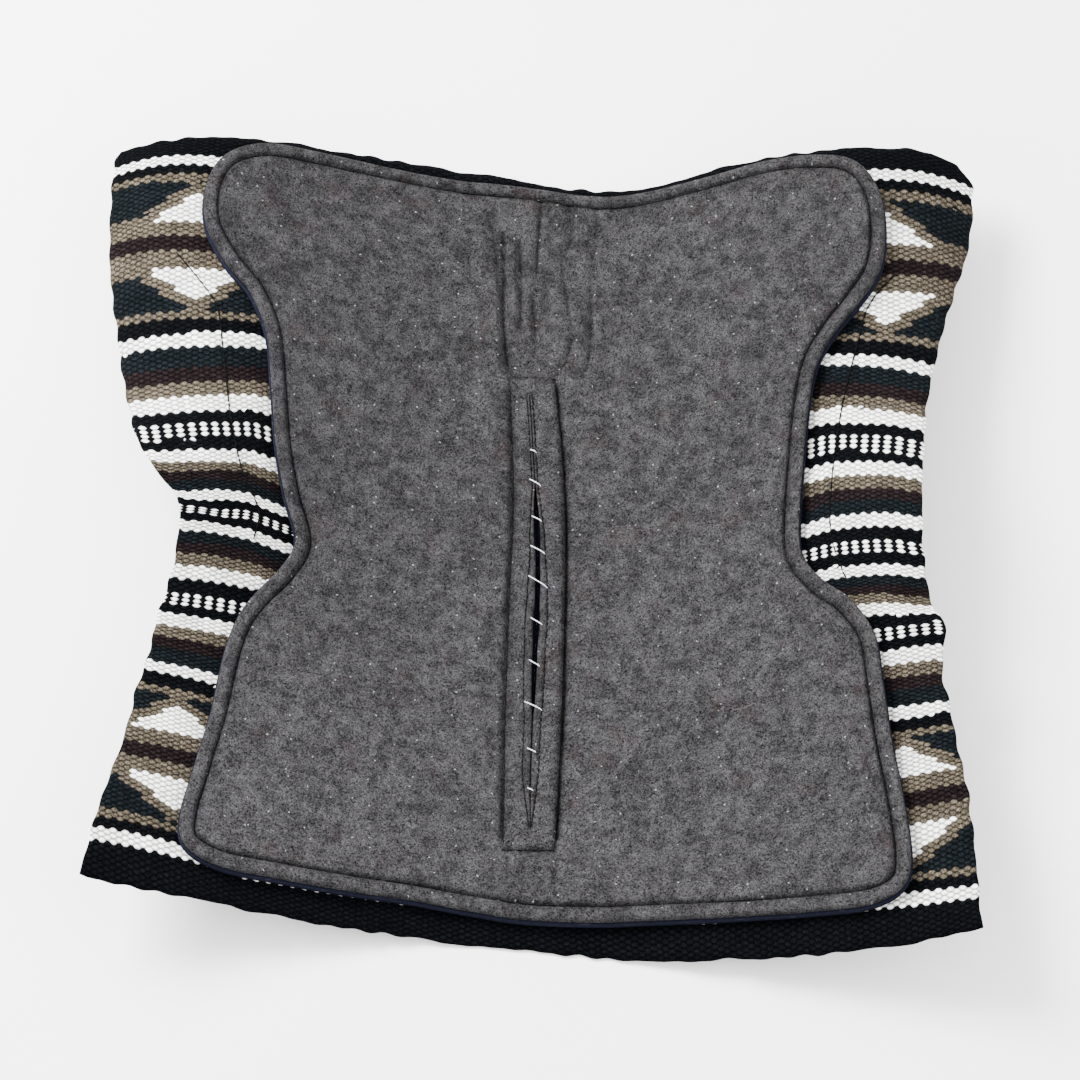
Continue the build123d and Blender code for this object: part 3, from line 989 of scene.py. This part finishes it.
def leather_mesh(name, points):
    """A leather patch under the blanket: rings run in from its edge to a line along its middle."""
    outline = curve(points, 260, closed=True)
    normal = inward(outline)
    far, near = np.argmax(outline[:, 1]), np.argmin(outline[:, 1])
    centre = curve([
        outline[far] + normal[far] * 22, outline.mean(axis=0), outline[near] + normal[near] * 18], 60)
    nearest = np.argmin(((outline[:, None] - centre[None]) ** 2).sum(-1), axis=1)
    core_line = centre[nearest]
    rings = []
    edge_profile = (
        (0.0, -1.5), (0.3, -2.6), (1.2, -3.05), (3.0, -3.1),
        (4.4, -2.75), (5.0, -2.6), (5.6, -2.75), (7.5, -3.1),
    )
    for d, z in edge_profile:
        ring = outline + normal * d
        rings.append(np.column_stack([ring, lift(ring) + z - 0.2]))
    start = outline + normal * 7.5
    for f in (0.3, 0.6, 0.9, 0.995):
        ring = start * (1 - f) + core_line * f
        lumps = 0.15 * ripple(ring[:, 0], ring[:, 1], 30, 81)
        rings.append(np.column_stack([ring, lift(ring) - 3.3 + lumps]))
    for f in (0.995, 0.5, 0.0):
        ring = (outline + normal * 0.6) * (1 - f) + core_line * f
        rings.append(np.column_stack([ring, lift(ring) - (0.3 if f else 0.6)]))
    obj = ring_solid(name, np.array(rings), leather_mat)
    return obj, outline, normal


leather_l, out_l, in_l = leather_mesh("wear_leather_left", leather_left)
leather_r, out_r, in_r = leather_mesh("wear_leather_right", leather_right)


def leather_stitches(name, outline, normal, shows, seed):
    """Stitches under the leather, and the same seam showing through on the blanket above it."""
    path = outline + normal * 5.0
    path = np.vstack([path, path[:1]])
    under = stitches(
        name + "_under", path, -3.0, dark_thread, length=5.0, gap=2.0, radius=0.7, seed=seed, sink=0.0)
    above = stitches(
        name + "_above", curve(shows, 160), BLANKET_TOP + 1.0, dark_thread,
        length=9.0, gap=0.4, radius=0.8, seed=seed + 5)
    for obj in (under, above):
        for vertex in obj.data.vertices:
            x, y = vertex.co.x / MM, vertex.co.y / MM
            vertex.co.z += float(fold_lines(np.array(x), np.array(y))) * MM
    return under, above


seam_left = [
    (-353, 286), (-322, 245), (-311, 224), (-305, 180), (-299, 132), (-296, 107), (-287, 59), (-279, 32),
    (-270, 16), (-266, 2), (-271, -22),
]
seam_right = [
    (343, 260), (322, 234), (312, 213), (307, 191), (291, 128), (279, 55), (275, -10), (284, -50), (290, -66),
]
seams_l = leather_stitches("leather_stitches_left", out_l, in_l, seam_left, 91)
seams_r = leather_stitches("leather_stitches_right", out_r, in_r, seam_right, 92)


def across(obj, *nodes, slot):
    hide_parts(*nodes)
    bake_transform(obj)


across(blanket, "blanket_left", "blanket_right", slot="woven_wool")
across(core, "core_left", "core_right", slot="core_foam")
across(felt, "felt_left", "felt_right", slot="wool_felt")
across(facing, "facing_left", "facing_right", slot="facing_felt")
across(lip_l, "lip_left", slot="lip_felt")
across(lip_r, "lip_right", slot="lip_felt")
across(edge_stitch, "edge_thread_left", "edge_thread_right", slot="dark_thread")
across(facing_stitch, "facing_thread_left", "facing_thread_right", slot="dark_thread")
across(lip_stitch_l, "lip_thread_left", slot="dark_thread")
across(lip_stitch_r, "lip_thread_right", slot="dark_thread")
across(basting_thread, "basting_left", "basting_right", slot="pale_thread")
for obj, node, body in ((leather_l, "leather_left", "left_side"), (leather_r, "leather_right", "right_side")):
    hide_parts(node)
    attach(obj, body)
seams = ((seams_l, "leather_thread_left", "left_side"), (seams_r, "leather_thread_right", "right_side"))
for pair, node, body in seams:
    for obj in pair:
        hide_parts(node)
        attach(obj, body)

# ---------------------------------------------------------------- stage, light, camera
floor_shader = Shader("floor_paper")
floor_cloud = floor_shader.levels(floor_shader.noise(floor_shader.place(), 3.0), 0.4, 0.6)
floor_colour = floor_shader.mix(floor_cloud, (0.94, 0.94, 0.94), (0.96, 0.96, 0.96))
floor_shader.feed(floor_shader.bsdf.inputs["Base Color"], floor_colour)
floor_mat = floor_shader.finish(roughness=0.9, specular=0.1)
FLOOR = 6000
floor_corners = [(-FLOOR, -FLOOR, 0), (FLOOR, -FLOOR, 0), (FLOOR, FLOOR, 0), (-FLOOR, FLOOR, 0)]
floor = new_object("floor", floor_corners, [[0, 1, 2, 3]], floor_mat)

world = bpy.data.worlds.new("studio")
bpy.context.scene.world = world
world.use_nodes = True
world.node_tree.nodes["Background"].inputs[0].default_value = (1.0, 1.0, 1.0, 1.0)
world.node_tree.nodes["Background"].inputs[1].default_value = 2.95


def area_light(name, place, size, power):
    data = bpy.data.lights.new(name, "AREA")
    data.energy = power
    data.size = size
    obj = bpy.data.objects.new(name, data)
    bpy.context.scene.collection.objects.link(obj)
    obj.location = place
    obj.rotation_euler = (-Vector(place)).to_track_quat("-Z", "Y").to_euler()


area_light("key", (-1.7, 1.1, 2.4), 1.5, 430)
area_light("fill", (2.4, -1.2, 2.2), 2.4, 40)

camera_data = bpy.data.cameras.new("camera")
camera_data.lens = 174.0
camera_data.sensor_width = 36.0
camera = bpy.data.objects.new("camera", camera_data)
bpy.context.scene.collection.objects.link(camera)
tilt = math.radians(26.0)
aim = Vector((0.0, 0.0046, 0.0335))
CAMERA_AWAY = 5.0
camera.location = aim + CAMERA_AWAY * Vector((0.0, -math.sin(tilt), math.cos(tilt)))
camera.rotation_euler = (tilt, 0.0, 0.0)
bpy.context.scene.camera = camera
